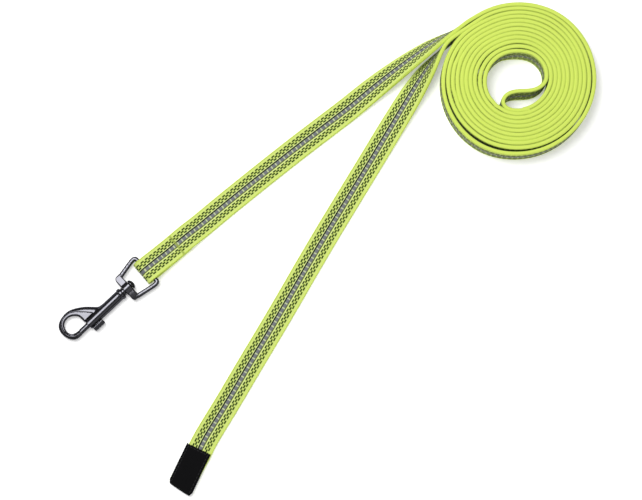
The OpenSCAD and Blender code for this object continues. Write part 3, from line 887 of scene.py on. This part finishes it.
def bolt_sdf(p):
    d = tube_u(p, -8.2, 12, 2.22, 0.25)
    return d


bolt = sdf_mesh("spring_bolt", bolt_sdf, (-9, -3, -3), (12.8, 3, 3), 0.2)
dress(bolt, "nickel", "bolt", "black_nickel", "snap_bolt")


def tab_sdf(p):
    tilt = p.copy()
    tilt[:, 2] = np.abs(p[:, 2]) + 0.16 * (-4.5 - p[:, 1])
    head = block(tilt, (6.1, -6.3, 0), (5.0, 1.8, 2.7), 0.75)
    for c in (2.6, 4.9, 7.3, 9.6):
        head = smax(head, -(np.hypot(p[:, 0] - c, p[:, 1] + 8.5) - 0.72), 0.3)
    stalk = block(p, (6.05, -2.9, 0), (2.5, 1.9, 1.18), 0.3)
    return smin(head, stalk, 0.5)


tab = sdf_mesh("thumb_tab_grip", tab_sdf, (0.4, -8.8, -3.2), (11.8, -0.4, 3.2), 0.2)
dress(tab, "nickel", "bolt", "black_nickel", "thumb_tab")

# spring, wound round and ground flat at its ends
n_turn, per_turn = 11, 28
tt = np.arange(n_turn * per_turn + 1) / (n_turn * per_turn)
ease = tt + 0.045 * np.sin(2 * np.pi * tt) * -1
cu = 12.4 + ease * 16.2
ang = 2 * np.pi * n_turn * tt
centre = np.column_stack([cu, 1.5 * np.cos(ang), 1.5 * np.sin(ang)])
tg = np.gradient(centre, axis=0)
tg /= np.linalg.norm(tg, axis=1)[:, None]
rad = np.column_stack([np.zeros_like(ang), np.cos(ang), np.sin(ang)])
bi = np.cross(tg, rad)
ringv, sides = [], 10
for q in range(sides):
    a_ = 2 * np.pi * q / sides
    ringv.append(centre + 0.3 * (math.cos(a_) * rad + math.sin(a_) * bi))
sv = np.stack(ringv, 1).reshape(-1, 3)
sf = [(r * sides + q, r * sides + (q + 1) % sides, (r + 1) * sides + (q + 1) % sides, (r + 1) * sides + q) for r in range(len(tt) - 1) for q in range(sides)]
sf += [tuple(range(sides))[::-1], tuple((len(tt) - 1) * sides + np.arange(sides))]
spring = mesh_object("bolt_spring_wire", snap_point(sv), sf)
dress(spring, "steel", "hook", "spring_steel", "bolt_spring")
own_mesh(spring)


# ---------------------------------------------------------------- stitches
def stitch_mesh(name, runs, r, arch):
    """Short raised stitches, each a small bowed thread that dips into the cloth at both ends."""
    vs, fs = [], []
    for a, b, up in runs:
        a, b, up = np.array(a, float), np.array(b, float), np.array(up, float)
        base = len(vs)
        m, k = 9, 8
        d = (b - a) / np.linalg.norm(b - a)
        side = np.cross(d, up)
        for i in range(m):
            t = i / (m - 1)
            c = a + (b - a) * t + up * arch * math.sin(math.pi * t) ** 0.6
            rr = r * (0.75 + 0.25 * math.sin(math.pi * t))
            for q in range(k):
                w = 2 * math.pi * q / k
                vs.append(c + rr * (math.cos(w) * side + math.sin(w) * up))
        for i in range(m - 1):
            for q in range(k):
                fs.append((base + i * k + q, base + i * k + (q + 1) % k, base + (i + 1) * k + (q + 1) % k, base + (i + 1) * k + q))
        fs.append(tuple(base + q for q in range(k))[::-1])
        fs.append(tuple(base + (m - 1) * k + q for q in range(k)))
    return mesh_object(name, vs, fs)


def loop_point(s, y, z):
    return np.array([LOOP[0] + s * e_loop[0] + y * -e_loop[1], LOOP[1] + s * e_loop[1] + y * e_loop[0], z])


runs = []
for i in range(34):
    y = -9.0 + 18.0 * i / 33
    sgn = 1 if i % 2 else -1
    runs.append((loop_point(32 - 1.15 * sgn, y - 0.27, 5.86), loop_point(32 + 1.15 * sgn, y + 0.27, 5.86), Z))
    runs.append((loop_point(32 - 1.15 * sgn, y - 0.27, 0.28), loop_point(32 + 1.15 * sgn, y + 0.27, 0.28), -Z * 0.2))
tack = stitch_mesh("tack_threads", runs, 0.24, 0.26)
dress(tack, "tack", "strap", "tack_thread", "tack_stitching")

# ---------------------------------------------------------------- end cap
CAP = np.array([-110.9, -190.4, 0.0]) + SHIFT
CAP_A = math.radians(64.4)
ce = np.array([math.cos(CAP_A), math.sin(CAP_A), 0.0])
cn = np.array([-math.sin(CAP_A), math.cos(CAP_A), 0.0])


def cap_point(s, y, z):
    """A point of the cap, whose fold is sewn on a little askew."""
    s = s + (0.135 * y + 0.3) * (1 - s / 36.0)
    return CAP + (s + 0.6) * ce + (y + 0.45) * cn + np.array([0, 0, z])


# the cap's outline runs under the strap, round the cut end and back over it
prof = []
for s in np.linspace(34.8, 1.4, 30):
    prof.append((s, 0.42, 0, -1))
for a in np.linspace(-90, -270, 19):
    prof.append((1.2 + 2.0 * math.cos(math.radians(a)), 2.3 + 1.88 * math.sin(math.radians(a)), math.cos(math.radians(a)), math.sin(math.radians(a))))
for s in np.linspace(1.4, 34.8, 30):
    prof.append((s, 4.18, 0, 1))
prof = np.array(prof)
ys = np.linspace(-10.35, 10.35, 35)
rng = np.random.default_rng(3)
wr = rng.normal(size=(len(prof), len(ys)))
for _ in range(14):
    wr[1:-1] = (wr[:-2] + 2 * wr[1:-1] + wr[2:]) / 4
    wr[:, 1:-1] = (wr[:, :-2] + 2 * wr[:, 1:-1] + wr[:, 2:]) / 4
wr *= 0.55
outer, inner = [], []
for i, (s, z, a, b) in enumerate(prof):
    for j, y in enumerate(ys):
        edge = max(0.0, (abs(y) - 8.2) / 2.0)
        yy = y
        corner = max(0.0, (2.6 - s)) / 2.6
        yy = y * (1 - 0.10 * corner * max(0.0, (abs(y) - 7.2) / 3.0) ** 1.0)
        seam = math.exp(-((abs(y) - 8.4) / 0.45) ** 2) * 0.14 + math.exp(-((s - 33.2) / 0.45) ** 2) * 0.14 * (abs(y) < 8.8)
        puff = 0.16 * math.cos(math.pi * y / 22.0) + wr[i, j] * 0.3 - seam
        fray = 0.0
        if i in (0, len(prof) - 1):
            fray = 0.25 * math.sin(j * 1.9) + 0.15 * math.sin(j * 4.1)
        lift = -0.1 * edge * edge
        o = (s + fray + a * (puff + lift), z + b * (0.40 + puff * 0.6 + lift) + (0.0 if b else 0.0))
        n_ = (s + fray - a * 0.35, z - b * 0.34)
        outer.append(cap_point(o[0], yy, max(o[1], 0.02)))
        inner.append(cap_point(n_[0], yy, n_[1]))
np_, ny_ = len(prof), len(ys)
cv = np.array(outer + inner)
cf = []
off = np_ * ny_
for i in range(np_ - 1):
    for j in range(ny_ - 1):
        a0, a1, a2, a3 = i * ny_ + j, i * ny_ + j + 1, (i + 1) * ny_ + j + 1, (i + 1) * ny_ + j
        cf.append((a0, a1, a2, a3))
        cf.append((off + a3, off + a2, off + a1, off + a0))
for i in range(np_ - 1):
    for j in (0, ny_ - 1):
        a0, a3 = i * ny_ + j, (i + 1) * ny_ + j
        q = (a0, a3, off + a3, off + a0)
        cf.append(q if j == 0 else q[::-1])
for j in range(ny_ - 1):
    for i in (0, np_ - 1):
        a0, a1 = i * ny_ + j, i * ny_ + j + 1
        q = (a1, a0, off + a0, off + a1)
        cf.append(q if i == 0 else q[::-1])
cap = mesh_object("cap_fabric", cv, cf)
dress(cap, "cap", "strap", "cap_cloth", "end_cap")

runs = []
for top in (1, 0):
    z, up = (4.56, Z) if top else (0.12, -Z * 0.2)
    for sgn in (-1, 1):
        for i in range(11):
            runs.append((cap_point(1.4 + i * 3.0, sgn * 8.4, z), cap_point(3.6 + i * 3.0, sgn * 8.4, z), up))
    for i in range(5):
        runs.append((cap_point(33.2, -7.2 + i * 3.0, z), cap_point(33.2, -5.0 + i * 3.0, z), up))
cap_seam = stitch_mesh("cap_threads", runs, 0.2, 0.1)
dress(cap_seam, "cap_thread", "strap", "cap_thread", "cap_stitching")
